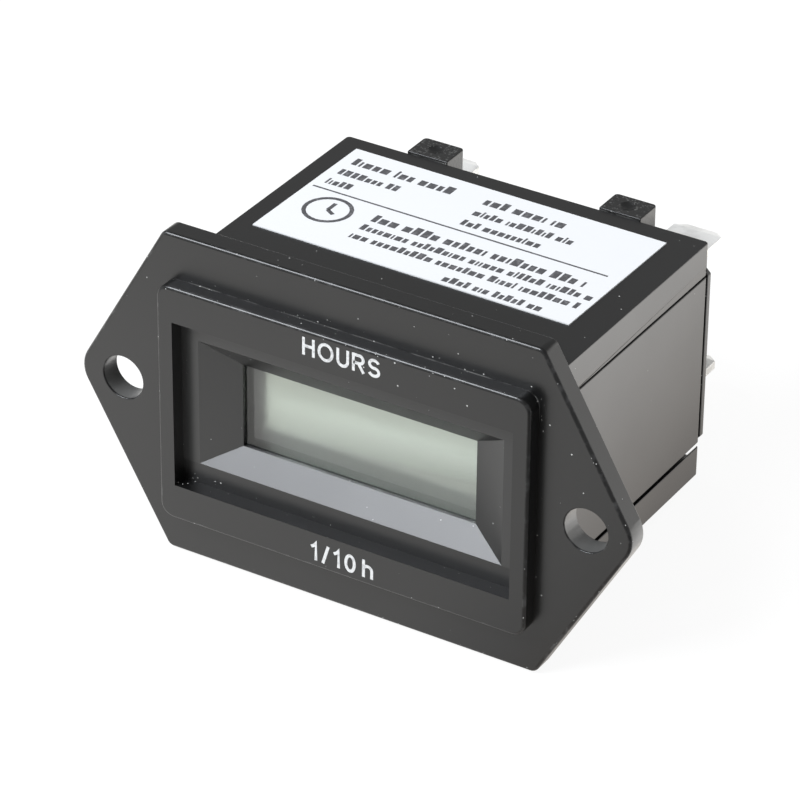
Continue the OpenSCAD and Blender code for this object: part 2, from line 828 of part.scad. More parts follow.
// Plain label stuck on the top plate, a little askew
module top_label() {
    color("#f4f5f7")
        translate([label_shift, body_depth - label_from_rear, body_top])
            rotate([0, 0, label_turn])
                translate([-label_w / 2, -label_d / 2, 0])
                    cube([label_w, label_d, label_t]);
}

front_housing();
rear_cover();
window_lens();
lcd_front_polarizer();
lcd_front_glass();
lcd_rear_glass();
lcd_reflector();
lcd_holder();
contact_strip_upper();
contact_strip_lower();
display_board();
processor_chip();
memory_chip();
timing_crystal();
link_header();
link_pins();
power_board();
bridge_rectifier();
reservoir_capacitor();
dropper_resistors();
clamp_diode();
blade_upper_left();
blade_upper_right();
blade_lower_left();
blade_lower_right();
top_label();
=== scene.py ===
import json
import math
import random

import bmesh
import bpy
from mathutils import Matrix, Vector


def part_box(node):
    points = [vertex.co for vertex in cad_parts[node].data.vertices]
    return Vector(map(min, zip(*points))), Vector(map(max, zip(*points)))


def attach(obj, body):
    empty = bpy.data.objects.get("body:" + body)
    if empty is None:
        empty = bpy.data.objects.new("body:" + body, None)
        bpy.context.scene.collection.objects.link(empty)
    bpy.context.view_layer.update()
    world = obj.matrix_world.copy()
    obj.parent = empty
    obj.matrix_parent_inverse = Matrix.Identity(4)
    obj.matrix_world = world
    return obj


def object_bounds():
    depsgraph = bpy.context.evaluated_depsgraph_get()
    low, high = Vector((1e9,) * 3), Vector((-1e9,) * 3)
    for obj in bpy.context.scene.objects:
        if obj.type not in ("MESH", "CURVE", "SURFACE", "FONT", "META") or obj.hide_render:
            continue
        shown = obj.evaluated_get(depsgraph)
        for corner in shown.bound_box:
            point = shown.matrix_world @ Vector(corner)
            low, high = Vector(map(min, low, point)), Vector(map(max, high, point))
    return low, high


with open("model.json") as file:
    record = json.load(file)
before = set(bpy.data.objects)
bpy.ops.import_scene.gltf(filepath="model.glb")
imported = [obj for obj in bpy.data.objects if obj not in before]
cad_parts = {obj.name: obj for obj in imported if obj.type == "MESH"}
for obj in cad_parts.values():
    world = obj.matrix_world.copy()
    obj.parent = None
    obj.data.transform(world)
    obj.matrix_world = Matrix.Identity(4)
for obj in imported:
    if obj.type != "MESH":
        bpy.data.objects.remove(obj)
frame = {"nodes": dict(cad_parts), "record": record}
cad_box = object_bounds()

# Front housing: the black ABS moulding that carries everything else. Flange, raised frame, funnel, plates
# and the two sprung side arms come out of one tool, with a fine even texture on the faces, small radii on
# the edges, and a little dust and handling wear.
MM = 0.001
BODY = "root"
black_plastic = (0.0040, 0.0040, 0.0040, 1)
black_plastic_pale = (0.0065, 0.0065, 0.0065, 1)
dust_grey = (0.44, 0.44, 0.425, 1)
rubbed_grey = (0.040, 0.040, 0.040, 1)
flow_mark = 9 * MM
# Dust: each kind of speck as the size of its cell and its radius, and the spans over which dust thins out
coarse_speck = (1.3 * MM, 0.065 * MM)
coarse_share = 0.28
coarse_cover = 0.6
fine_speck = (0.30 * MM, 0.075 * MM)
dust_patch = 2.2 * MM
dust_drift = (0.42, 0.66)
shelter_reach = 1.2 * MM
shelter_open = (0.45, 0.90)
shelter_dust = (4.0, 0.15)
corner_reach = 0.16 * MM
corner_open = (0.55, 0.80)
corner_dust = 0.32
corner_heights = (9 * MM, 11 * MM)
# Rubbed edges: their pale patches, their specks, their gloss and their grain
rub_patch = 0.8 * MM
rub_drift = (0.52, 0.75)
edge_speck = (0.22 * MM, 0.06 * MM)
edge_share = 0.08
edge_cloud = 0.5 * MM
edge_gloss = (0.28, 0.34)
edge_grain = 0.30 * MM
edge_relief = 0.003 * MM
# Rounding: the outline's radius, the share of it that other edges get, and what counts as an edge
housing_edge = 0.29 * MM
other_edges = 0.35
edge_steps = 5
outer_angle = math.radians(40)
inner_angle = math.radians(-25)
weld_reach = 0.001 * MM
# Places: the opening in the frame, the funnel behind it and the screw holes
opening_x = 16.9 * MM
opening_z = 8.6 * MM
opening_lip = 0.4 * MM
front_edges = -1.5 * MM
funnel_foot = -6.15 * MM
funnel_start = (-2.25 * MM, -2.15 * MM)
bore_start = (-2.0 * MM, -1.9 * MM)
bore_skin = 0.02 * MM
bore_rim = 1.2
screw_hole = [m for m in frame["record"]["mounts"] if m["kind"] == "bore"][0]
bore_x = abs(screw_hole["pos_m"][0])
bore_r = screw_hole["dims"]["r_mm"] * MM
unwiped_share = 0.032
unwiped_bore = 0.2


class Finish:
    """A finish being put together: its material, its surface shader, and calls that add wired nodes."""

    def __init__(self, name):
        self.material = bpy.data.materials.new(name)
        self.material.use_nodes = True
        self.tree = self.material.node_tree
        self.surface = self.tree.nodes["Principled BSDF"]
        self.place = self.node("ShaderNodeTexCoord").outputs["Object"]

    def node(self, kind, inputs=None, **settings):
        made = self.tree.nodes.new(kind)
        for key, value in settings.items():
            setattr(made, key, value)
        for key, value in (inputs or {}).items():
            self.feed(value, made.inputs[key])
        return made

    def feed(self, value, socket):
        if isinstance(value, bpy.types.NodeSocket):
            self.tree.links.new(value, socket)
        else:
            socket.default_value = value

    def set(self, **inputs):
        """Sets or wires the surface shader's sockets, by their names with _ for a space."""
        for key, value in inputs.items():
            self.feed(value, self.surface.inputs[key.replace("_", " ")])

    def math(self, operation, first, second):
        return self.node("ShaderNodeMath", {0: first, 1: second}, operation=operation).outputs[0]

    def axes(self):
        """The three coordinates of the place on the piece, by their names."""
        return self.node("ShaderNodeSeparateXYZ", {"Vector": self.place}).outputs

    def openness(self, reach):
        """How open a point lies to what is within reach, from 0 to 1."""
        return self.node("ShaderNodeAmbientOcclusion", {"Distance": reach}, samples=8).outputs["AO"]

    def noise(self, grain, detail=3.0, stretch=(1, 1, 1)):
        """Cloudy pattern with lumps about as large as grain, drawn out along an axis by stretch."""
        scale = tuple(1 / (grain * s) for s in stretch)
        scaled = self.node("ShaderNodeVectorMath", {0: self.place, 1: scale}, operation="MULTIPLY")
        inputs = {"Vector": scaled.outputs[0], "Scale": 1.0, "Detail": detail}
        return self.node("ShaderNodeTexNoise", inputs).outputs[0]

    def span(self, value, low, high, start=0.3, end=0.7):
        """Value from start to end, taken to low to high."""
        inputs = {"Value": value, "From Min": start, "From Max": end, "To Min": low, "To Max": high}
        return self.node("ShaderNodeMapRange", inputs).outputs[0]

    def blend(self, share, first, second):
        return self.node("ShaderNodeMixRGB", {"Fac": share, "Color1": first, "Color2": second}).outputs[0]

    def mix(self, share, first, second):
        return self.node("ShaderNodeMixShader", {0: share, 1: first, 2: second}).outputs[0]

    def show(self, shader):
        self.feed(shader, self.tree.nodes["Material Output"].inputs["Surface"])

    def bump(self, height, depth):
        normal = self.node("ShaderNodeBump", {"Height": height, "Distance": depth, "Strength": 1.0})
        self.set(Normal=normal.outputs[0])

    def specks(self, cell, radius, share):
        """Small round specks, in about share of the cells of an irregular grid."""
        cells = self.node("ShaderNodeTexVoronoi", {"Vector": self.place, "Scale": 1 / cell})
        chance = self.node("ShaderNodeSeparateColor", {"Color": cells.outputs["Color"]})
        size = self.span(chance.outputs["Green"], 0.3 * radius / cell, radius / cell, 0, 1)
        near = self.math("LESS_THAN", cells.outputs["Distance"], size)
        chosen = self.math("LESS_THAN", chance.outputs["Red"], share)
        return self.math("MULTIPLY", near, chosen)


def moulded_black(name, gloss_low, gloss_high, dust, grain, depth, unwiped=None):
    """Black ABS: soft flow marks, a tool texture, specks of dust, and dust lines in the higher corners."""
    finish = Finish(name)
    flow = finish.noise(flow_mark, detail=4)
    drift = finish.span(finish.noise(dust_patch, detail=4), 0, 1, *dust_drift)
    caught = finish.span(finish.openness(shelter_reach), *shelter_dust, *shelter_open)
    fine_share = finish.math("MULTIPLY", finish.math("MULTIPLY", caught, drift), dust)
    fine = finish.specks(*fine_speck, fine_share)
    coarse = finish.math("MULTIPLY", finish.specks(*coarse_speck, coarse_share * dust), coarse_cover)
    specks = finish.math("MAXIMUM", coarse, fine)
    settled = finish.math("MULTIPLY", drift, finish.span(finish.axes()["Z"], 0, 1, *corner_heights))
    corner = finish.span(finish.openness(corner_reach), corner_dust, 0, *corner_open)
    line = finish.math("MULTIPLY", corner, settled)
    specks = finish.math("MAXIMUM", specks, line)
    if unwiped:
        specks = finish.math("MAXIMUM", specks, unwiped(finish))
    plastic = finish.blend(flow, black_plastic, black_plastic_pale)
    gloss = finish.span(flow, gloss_low, gloss_high)
    finish.set(Base_Color=finish.blend(specks, plastic, dust_grey), IOR=1.58)
    finish.set(Roughness=finish.math("MAXIMUM", gloss, specks))
    finish.bump(finish.noise(grain), depth)
    return finish.material


def behind_frame(finish):
    """Share of dust film in the funnel and in the screw holes, where wiping doesn't reach."""
    axes = finish.axes()
    out_x = finish.math("ABSOLUTE", axes["X"], 0)
    inside_x = finish.math("LESS_THAN", out_x, opening_x)
    under_top = finish.math("LESS_THAN", axes["Z"], opening_z)
    over_foot = finish.math("GREATER_THAN", axes["Z"], funnel_foot)
    inside_z = finish.math("MULTIPLY", under_top, over_foot)
    behind = finish.span(axes["Y"], 0, unwiped_share, *funnel_start)
    recess = finish.math("MULTIPLY", finish.math("MULTIPLY", inside_x, inside_z), behind)
    off_axis = finish.math("SUBTRACT", out_x, bore_x)
    from_axis = finish.node("ShaderNodeCombineXYZ", {"X": off_axis, "Z": axes["Z"]}).outputs[0]
    reach = finish.node("ShaderNodeVectorMath", {0: from_axis}, operation="LENGTH").outputs["Value"]
    through = finish.span(axes["Y"], 0, unwiped_bore, *bore_start)
    bores = finish.math("MULTIPLY", finish.math("LESS_THAN", reach, bore_r + bore_skin), through)
    return finish.math("MAXIMUM", recess, bores)


def rubbed_edge(name):
    """Edges of the same plastic, polished by the tool's parting and paled in places by handling."""
    finish = Finish(name)
    rubs = finish.span(finish.noise(rub_patch, detail=6), 0, 1, *rub_drift)
    specks = finish.specks(*edge_speck, edge_share)
    finish.set(Base_Color=finish.blend(specks, finish.blend(rubs, black_plastic, rubbed_grey), dust_grey))
    finish.set(IOR=1.5, Roughness=finish.span(finish.noise(edge_cloud), *edge_gloss))
    finish.bump(finish.noise(edge_grain), edge_relief)
    return finish.material


def dress(piece, slot, *finishes):
    """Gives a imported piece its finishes, the first on its faces and a second on its rounded edges."""
    piece.data.materials.clear()
    for finish in finishes:
        piece.data.materials.append(finish)


def outer_edges(name, share, front_share=None):
    """Marks the edges that stand out with a share of the radius, and keeps inner corners crisp. A front
    share goes to the outline of flange and frame, and then the edges round the window stay crisp too."""
    group = bpy.data.node_groups.new(name, "GeometryNodeTree")
    group.interface.new_socket("Geometry", in_out="INPUT", socket_type="NodeSocketGeometry")
    group.interface.new_socket("Geometry", in_out="OUTPUT", socket_type="NodeSocketGeometry")
    nodes, link = group.nodes, group.links.new

    def measure(operation, first, second=0.0):
        made = nodes.new("ShaderNodeMath")
        made.operation = operation
        for value, socket in zip((first, second), made.inputs):
            if isinstance(value, bpy.types.NodeSocket):
                link(value, socket)
            else:
                socket.default_value = value
        return made.outputs[0]

    angle = nodes.new("GeometryNodeInputMeshEdgeAngle").outputs["Signed Angle"]
    weight = measure("MULTIPLY", measure("GREATER_THAN", angle, outer_angle), share)
    if front_share:
        place = nodes.new("ShaderNodeSeparateXYZ")
        link(nodes.new("GeometryNodeInputPosition").outputs[0], place.inputs[0])
        out_x = measure("ABSOLUTE", place.outputs["X"])
        out_z = measure("ABSOLUTE", place.outputs["Z"])
        past_x = measure("GREATER_THAN", out_x, opening_x + opening_lip)
        past_z = measure("GREATER_THAN", out_z, opening_z + opening_lip)
        off_axis = measure("ABSOLUTE", measure("SUBTRACT", out_x, bore_x))
        near_x = measure("LESS_THAN", off_axis, bore_rim * bore_r)
        bore = measure("MULTIPLY", near_x, measure("LESS_THAN", out_z, bore_rim * bore_r))
        front = measure("LESS_THAN", place.outputs["Y"], front_edges)
        front = measure("MULTIPLY", front, measure("SUBTRACT", 1, bore))
        more = measure("ADD", measure("MULTIPLY", front, front_share / share - 1), 1)
        weight = measure("MULTIPLY", weight, measure("MULTIPLY", measure("MAXIMUM", past_x, past_z), more))
    store = nodes.new("GeometryNodeStoreNamedAttribute")
    store.domain = "EDGE"
    store.inputs["Name"].default_value = "bevel_weight_edge"
    link(nodes.new("NodeGroupInput").outputs[0], store.inputs["Geometry"])
    link(weight, store.inputs["Value"])
    crisp = nodes.new("GeometryNodeStoreNamedAttribute")
    crisp.domain = "EDGE"
    crisp.data_type = "BOOLEAN"
    crisp.inputs["Name"].default_value = "sharp_edge"
    link(store.outputs[0], crisp.inputs["Geometry"])
    link(measure("LESS_THAN", angle, inner_angle), crisp.inputs["Value"])
    link(crisp.outputs[0], nodes.new("NodeGroupOutput").inputs[0])
    return group


def join_faces(piece):
    """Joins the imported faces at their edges."""
    joined = piece.modifiers.new("joined_faces", "WELD")
    joined.merge_threshold = weld_reach


def soften_edges(piece, radius, marks, worn=False):
    """Rounds the edges that stand out, in a second finish where they are worn."""
    join_faces(piece)
    piece.modifiers.new("outer_edges", "NODES").node_group = marks
    rounds = piece.modifiers.new("rounded_edges", "BEVEL")
    rounds.width = radius
    rounds.segments = edge_steps
    rounds.limit_method = "WEIGHT"
    rounds.use_clamp_overlap = False
    rounds.loop_slide = False
    rounds.face_strength_mode = "FSTR_ALL"
    rounds.material = 1 if worn else -1
    shading = piece.modifiers.new("flat_shading", "WEIGHTED_NORMAL")
    shading.keep_sharp = True
    shading.use_face_influence = True


housing = frame["nodes"]["front_housing"]
housing_face = moulded_black("housing_plastic", gloss_low=0.28, gloss_high=0.33, dust=0.16,
                             grain=0.14 * MM, depth=0.0025 * MM, unwiped=behind_frame)
dress(housing, "black_plastic", housing_face, rubbed_edge("housing_edge"))
housing_marks = outer_edges("housing_edges", other_edges, front_share=1.0)
plain_marks = outer_edges("plain_edges", 1.0)
soften_edges(housing, housing_edge, housing_marks, worn=True)

# Legends: the unit above the window and the smallest count below it, pad-printed on the raised frame in
# one pass of matt white ink. The strokes are about as wide as a sixth of a capital's height.
ink_white = (0.60, 0.60, 0.59, 1)
ink_thin = (0.30, 0.30, 0.30, 1)
ink_patch = 0.35 * MM
ink_cover = (0.25, 0.5)
ink_grain = 0.1 * MM
ink_relief = 0.002 * MM
ink_film = 0.012 * MM
stroke_lift = 0.001 * MM
stroke = 0.168
legend_gap = 0.20
same_point = 1e-6
frame_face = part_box("front_housing")[0].y


def arc(cx, cz, rx, rz, start, end):
    """Points along part of an ellipse, with its angles in degrees."""
    steps = max(6, round(abs(end - start) / 15))
    turns = [math.radians(start + (end - start) * i / steps) for i in range(steps + 1)]
    return [(cx + rx * math.cos(a), cz + rz * math.sin(a)) for a in turns]


# Each letter's width and the middle lines of its strokes, where a capital is 1 high
LETTERS = {
    "H": (0.74, [[(0.07, 0), (0.07, 1)], [(0.67, 0), (0.67, 1)], [(0.07, 0.53), (0.67, 0.53)]]),
    "O": (0.94, [arc(0.47, 0.5, 0.40, 0.44, 0, 360)]),
    "U": (0.74, [[(0.07, 1)] + arc(0.37, 0.36, 0.30, 0.30, 180, 360) + [(0.67, 1)]]),
    "R": (0.76, [[(0.07, 0), (0.07, 0.93), (0.40, 0.93)] + arc(0.44, 0.71, 0.22, 0.22, 80, -80)
                 + [(0.40, 0.49), (0.07, 0.49)], [(0.37, 0.48), (0.69, 0)]]),
    "S": (0.70, [arc(0.35, 0.715, 0.27, 0.22, 18, 262) + arc(0.35, 0.285, 0.29, 0.22, 82, -162)]),
    "1": (0.52, [[(0.08, 0.74), (0.26, 0.84), (0.36, 1.0), (0.36, 0)]]),
    "/": (0.42, [[(0.05, -0.02), (0.37, 1.02)]]),
    "0": (0.64, [arc(0.32, 0.5, 0.25, 0.44, 0, 360)]),
    "h": (0.62, [[(0.07, 0), (0.07, 1)], arc(0.31, 0.45, 0.24, 0.22, 150, 0) + [(0.55, 0)]]),
    " ": (0.0, []),
}


def ribbon(mesh, line, width, place):
    """Adds a flat band along a line, with mitred corners; place takes a point of the line into space."""
    closed = math.dist(line[0], line[-1]) < same_point
    points = [Vector(p) for p in (line[:-1] if closed else line)]
    count = len(points)
    rails = []
    for i, point in enumerate(points):
        before = points[i - 1] if closed or i > 0 else point
        after = points[(i + 1) % count] if closed or i < count - 1 else point
        ways = [v.normalized() for v in (point - before, after - point) if v.length > same_point]
        along = sum(ways, Vector((0, 0))).normalized()
        across = Vector((-along.y, along.x))
        reach = width / 2 / max(0.5, abs(along.dot(ways[0])))
        rails.append([mesh.verts.new(place(point + across * side * reach)) for side in (1, -1)])
    for i in range(count if closed else count - 1):
        a, b = rails[i], rails[(i + 1) % count]
        mesh.faces.new((a[0], a[1], b[1], b[0]))


def printed(name, mesh, finish, out):
    """Turns flat print into a thin film of ink that stands out along one direction."""
    film = bmesh.ops.extrude_face_region(mesh, geom=mesh.faces[:])
    moved = [v for v in film["geom"] if isinstance(v, bmesh.types.BMVert)]
    bmesh.ops.translate(mesh, verts=moved, vec=Vector(out) * ink_film)
    bmesh.ops.recalc_face_normals(mesh, faces=mesh.faces[:])
    data = bpy.data.meshes.new(name)
    mesh.to_mesh(data)
    mesh.free()
    data.materials.append(finish)
    piece = bpy.data.objects.new(name, data)
    bpy.context.scene.collection.objects.link(piece)
    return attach(piece, BODY)


def white_ink():
    """Matt white ink, thin in places where the pad left less of it."""
    finish = Finish("legend_ink")
    covered = finish.span(finish.noise(ink_patch, detail=5), 0, 1, *ink_cover)
    finish.set(Base_Color=finish.blend(covered, ink_thin, ink_white), Roughness=0.62)
    finish.bump(finish.noise(ink_grain), ink_relief)
    return finish.material


def legend(name, text, left, right, low, high, finish):
    """Prints a line of letters on the frame's face, fitted between two sides and two heights."""
    length = sum(LETTERS[c][0] for c in text) + legend_gap * (len(text) - 1)
    wide, tall = (right - left) / length, high - low
    mesh = bmesh.new()
    start = 0
    for c in text:
        width, lines = LETTERS[c]
        for layer, line in enumerate(lines):
            face = frame_face - layer * stroke_lift
            ribbon(mesh, line, stroke, lambda p: (left + (start + p.x) * wide, face, low + p.y * tall))
        start += width + legend_gap
    return printed(name, mesh, finish, (0, -1, 0))


legend_finish = white_ink()
legend("hours_legend", "HOURS", left=-3.55 * MM, right=3.98 * MM, low=9.15 * MM, high=10.85 * MM,
       finish=legend_finish)
legend("tenths_legend", "1/10 h", left=-2.87 * MM, right=3.43 * MM, low=-10.80 * MM, high=-9.05 * MM,
       finish=legend_finish)

# Window lens: a clear pane of acrylic set into the back of the window. It keeps dust off the display, and
# wiping has left faint marks along it.
lens_clear = (0.97, 0.98, 0.98, 1)
wipe_mark = 1.2 * MM
wipe_relief = 0.0001 * MM
lens = frame["nodes"]["window_lens"]
clearance_skin = 0.01 * MM


def clear_pane(name, tint, gloss, mirrors):
    """Clear sheet that lets the lamps through; without mirrors its bonded faces don't shine."""
    finish = Finish(name)
    finish.set(Base_Color=tint, Roughness=gloss, IOR=1.49, Transmission_Weight=1.0)
    if not mirrors:
        finish.set(Specular_Tint=(0, 0, 0, 1))
    lamps = finish.node("ShaderNodeLightPath").outputs["Is Shadow Ray"]
    through = finish.node("ShaderNodeBsdfTransparent", {"Color": tint})
    finish.show(finish.mix(lamps, finish.surface.outputs[0], through.outputs[0]))
    return finish


def bonded_gap(piece):
    """Draws a layer's faces in by a hair, so that two layers that touch don't share a face."""
    join_faces(piece)
    drawn_in = piece.modifiers.new("bonded_gap", "DISPLACE")
    drawn_in.mid_level = 0
    drawn_in.strength = -clearance_skin


lens_finish = clear_pane("lens_acrylic", lens_clear, gloss=0.015, mirrors=True)
lens_finish.bump(lens_finish.noise(wipe_mark, detail=5, stretch=(6, 1, 1)), wipe_relief)
dress(lens, "clear_plastic", lens_finish.material)
bonded_gap(lens)

# Display cell: a front polarizer, two glasses and a reflecting rear polarizer, bonded to each other. Off,
# it shows a plain grey-green. Painted shade darkens its reflecting layers low down, and painted light
# makes them paler on the right.
polarizer_green = (0.93, 0.945, 0.925, 1)
polarizer_dark = (0.02, 0.02, 0.02, 1)
polarizer_shine = 0.04
film_draw = 0.3 * MM
film_draw_relief = 0.0003 * MM
glass_clear = (0.98, 0.99, 0.98, 1)
cell_green = (0.65, 0.66, 0.628, 1)
# The pale tone paints light on the right of the cell. The shade tone, its slant and its two heights paint
# shade low down.
cell_painted_light = (0.865, 0.885, 0.865, 1)
cell_painted_shade = (0.375, 0.375, 0.36, 1)
painted_shade_slant = (-0.095, 0, 1)
painted_shade_from = -2.6 * MM
painted_shade_to = 0.6 * MM
cell_half = 11 * MM
reflector_grey = (0.62, 0.64, 0.58, 1)


def polarizer_film(name):
    """Thin stretched film: tinted, see-through, and smooth enough to mirror at a slant."""
    finish = Finish(name)
    finish.set(Base_Color=polarizer_dark, Roughness=0.06, IOR=1.5)
    through = finish.node("ShaderNodeBsdfTransparent", {"Color": polarizer_green})
    finish.bump(finish.noise(film_draw, stretch=(20, 1, 1)), film_draw_relief)
    finish.show(finish.mix(polarizer_shine, through.outputs[0], finish.surface.outputs[0]))
    return finish.material


def silvered(name, colour, metal, gloss):
    """Satin mirror behind the liquid crystal, with painted light to the right and painted shade low down.
    """
    finish = Finish(name)
    # Painted shade: darker low down along a slant. Painted light: paler towards the right.
    rise = finish.node("ShaderNodeVectorMath", {0: finish.place, 1: painted_shade_slant}, operation="DOT_PRODUCT")
    painted_shade_share = finish.span(rise.outputs["Value"], 0, 1, painted_shade_from, painted_shade_to)
    across = finish.span(finish.axes()["X"], 0, 1, -cell_half, cell_half)
    tone = finish.blend(across, colour, cell_painted_light)
    finish.set(Base_Color=finish.blend(painted_shade_share, cell_painted_shade, tone), Metallic=metal, Roughness=gloss)
    return finish.material


front_glass = clear_pane("display_front_glass", glass_clear, gloss=0.0, mirrors=False).material
rear_glass = silvered("display_rear_glass", cell_green, metal=0.7, gloss=0.28)
reflector = silvered("display_reflector", reflector_grey, metal=0.8, gloss=0.4)
display_finishes = {
    "lcd_front_polarizer": ("polarizer_film", polarizer_film("display_polarizer")),
    "lcd_front_glass": ("display_glass", front_glass),
    "lcd_rear_glass": ("display_glass", rear_glass),
    "lcd_reflector": ("reflector_film", reflector),
}
for node, (slot, finish) in display_finishes.items():
    dress(frame["nodes"][node], slot, finish)
    bonded_gap(frame["nodes"][node])

# Display holder: a white ABS frame that keeps the glass and the rubber strips square behind the front
# wall. It drops in from the rear between the plates' ribs.
holder_white = (0.72, 0.72, 0.69, 1)
holder_shade = (0.62, 0.62, 0.59, 1)
holder_edge = 0.08 * MM
tone_patch = 3 * MM
gloss_patch = 1 * MM
gloss_swing = 0.06
tool_grain = 0.15 * MM
tool_relief = 0.003 * MM


def plain_moulding(name, colour, shade, gloss):
    """Small plastic part: slight change of tone and a faint tool texture."""
    finish = Finish(name)
    finish.set(Base_Color=finish.blend(finish.noise(tone_patch), colour, shade))
    finish.set(Roughness=finish.span(finish.noise(gloss_patch), gloss - gloss_swing, gloss + gloss_swing))
    finish.bump(finish.noise(tool_grain), tool_relief)
    return finish.material


holder = frame["nodes"]["lcd_holder"]
dress(holder, "white_plastic", plain_moulding("holder_plastic", holder_white, holder_shade, gloss=0.5))
soften_edges(holder, holder_edge, plain_marks)

# Contact strips: silicone rubber with many thin conducting layers, pressed between glass and board. The
# layers stand crosswise to the strip and show as fine dark lines.
rubber_grey = (0.075, 0.075, 0.078, 1)
rubber_carbon = (0.02, 0.02, 0.02, 1)
layer_pitch = 0.2 * MM
rubber_grain = 0.1 * MM
rubber_relief = 0.004 * MM


def layered_rubber(name):
    """Grey silicone cut by dark layers along X."""
    finish = Finish(name)
    turn = finish.math("MULTIPLY", finish.axes()["X"], 2 * math.pi / layer_pitch)
    layers = finish.span(finish.math("SINE", turn, 0), 0, 1, -0.2, 0.2)
    finish.set(Base_Color=finish.blend(layers, rubber_grey, rubber_carbon), Roughness=0.7)
    finish.bump(finish.noise(rubber_grain), rubber_relief)
    return finish.material


strip_finish = layered_rubber("contact_rubber")
for node in ("contact_strip_upper", "contact_strip_lower"):
    dress(frame["nodes"][node], "contact_rubber", strip_finish)

# Boards: glass-filled epoxy under green solder mask, with copper tracks that show as paler lines through
# it. The display board carries the counting parts, the power board the supply parts and the blades.
mask_green = (0.020, 0.105, 0.045, 1)
track_green = (0.035, 0.165, 0.065, 1)
track_pitch = 1.27 * MM
track_run = 1.5 * MM
track_relief = 0.02 * MM


def solder_mask(name):
    """Green mask over straight tracks in both directions, broken up into short runs."""
    finish = Finish(name)
    axes = finish.axes()
    tracks = []
    for axis, stretch in (("Z", (6, 6, 1)), ("X", (1, 6, 6))):
        turn = finish.math("MULTIPLY", axes[axis], 2 * math.pi / track_pitch)
        line = finish.span(finish.math("SINE", turn, 0), 0, 1, 0.55, 0.65)
        run = finish.span(finish.noise(track_run, stretch=stretch), 0, 1, 0.53, 0.55)
        tracks.append(finish.math("MULTIPLY", line, run))
    copper = finish.math("MAXIMUM", *tracks)
    finish.set(Base_Color=finish.blend(copper, mask_green, track_green), Roughness=0.32)
    finish.bump(copper, track_relief)
    return finish.material


board_finish = solder_mask("board_mask")
for node in ("display_board", "power_board"):
    dress(frame["nodes"][node], "circuit_board", board_finish)

# Chips and small black parts: epoxy packages and a nylon header, matt from the moulding tool. Their leads
# are in one piece with them here, sealed out of sight, and share their finish.
epoxy_black = (0.018, 0.018, 0.019, 1)
epoxy_pale = (0.032, 0.032, 0.032, 1)
chip_finish = plain_moulding("chip_epoxy", epoxy_black, epoxy_pale, gloss=0.55)
for node in ("processor_chip", "memory_chip", "bridge_rectifier", "clamp_diode", "link_header"):
    dress(frame["nodes"][node], "chip_plastic", chip_finish)

# Crystal, capacitor and resistors: a plain drawn can, a can in a shrunk sleeve with a crimped groove, and
# two resistors dipped in a beige lacquer. All of them are soldered to the boards.
can_metal = (0.70, 0.70, 0.68, 1)
sleeve_blue = (0.020, 0.032, 0.085, 1)
sleeve_pale = (0.030, 0.045, 0.110, 1)
lacquer_beige = (0.47, 0.36, 0.20, 1)
lacquer_dark = (0.36, 0.26, 0.14, 1)
bloom_tone = 0.72
bloom_patch = 1.6 * MM
line_grain = 0.25 * MM
line_relief = 0.002 * MM


def drawn_metal(name, colour, metal, gloss, stretch):
    """Bare metal with fine drawing lines and a thin uneven bloom."""
    finish = Finish(name)
    lines = finish.noise(line_grain, detail=4, stretch=stretch)
    bloom = finish.span(finish.noise(bloom_patch, detail=5), 0, 1, 0.45, 0.8)
    dulled = tuple(bloom_tone * c for c in colour[:3]) + (1,)
    finish.set(Base_Color=finish.blend(bloom, colour, dulled), Metallic=metal)
    finish.set(Roughness=finish.span(lines, gloss - 0.08, gloss + 0.10))
    finish.bump(lines, line_relief)
    return finish.material


crystal_finish = drawn_metal("crystal_can", can_metal, metal=1.0, gloss=0.28, stretch=(12, 1, 1))
sleeve_finish = plain_moulding("capacitor_sleeve", sleeve_blue, sleeve_pale, gloss=0.3)
lacquer_finish = plain_moulding("resistor_lacquer", lacquer_beige, lacquer_dark, gloss=0.35)
dress(frame["nodes"]["timing_crystal"], "crystal_can", crystal_finish)
dress(frame["nodes"]["reservoir_capacitor"], "capacitor_sleeve", sleeve_finish)
dress(frame["nodes"]["dropper_resistors"], "resistor_coat", lacquer_finish)

# Blades and link pins: brass strip, stamped and tinned. The rolling lines run along the blade, the tin is
# satin and a little dull, and the sheared edges are softened by the plating.
tin_grey = (0.93, 0.925, 0.90, 1)
blade_edge = 0.06 * MM
blade_finish = drawn_metal("tinned_brass", tin_grey, metal=0.45, gloss=0.36, stretch=(1, 14, 1))
for node in ("blade_upper_left", "blade_upper_right", "blade_lower_left", "blade_lower_right"):
    dress(frame["nodes"][node], "tinned_brass", blade_finish)
    soften_edges(frame["nodes"][node], blade_edge, plain_marks)
dress(frame["nodes"]["link_pins"], "tinned_brass", blade_finish)

# Rear cover: the second black moulding, which snaps between the arms and closes the body. Its two stop
# lugs meet the top plate's edge, each with a sink mark over its thick core and dust on its rough top.
cover = frame["nodes"]["rear_cover"]
cover_edge = 0.09 * MM
lug_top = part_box("rear_cover")[1].z
lug_skin = (lug_top - 0.10 * MM, lug_top - 0.05 * MM)
lug_speck = (0.20 * MM, 0.11 * MM)
lug_share = 0.45
lug_dust = 0.16


def on_lugs(finish):
    """Share of coarse dust on top of the lugs, where it settles in the rough surface."""
    settled = finish.span(finish.axes()["Z"], 0, lug_dust, *lug_skin)
    return finish.math("MULTIPLY", finish.specks(*lug_speck, lug_share), settled)


cover_face = moulded_black("cover_plastic", gloss_low=0.28, gloss_high=0.36, dust=0.16,
                           grain=0.18 * MM, depth=0.018 * MM, unwiped=on_lugs)
dress(cover, "black_plastic", cover_face, rubbed_edge("cover_edge"))
soften_edges(cover, cover_edge, plain_marks, worn=True)

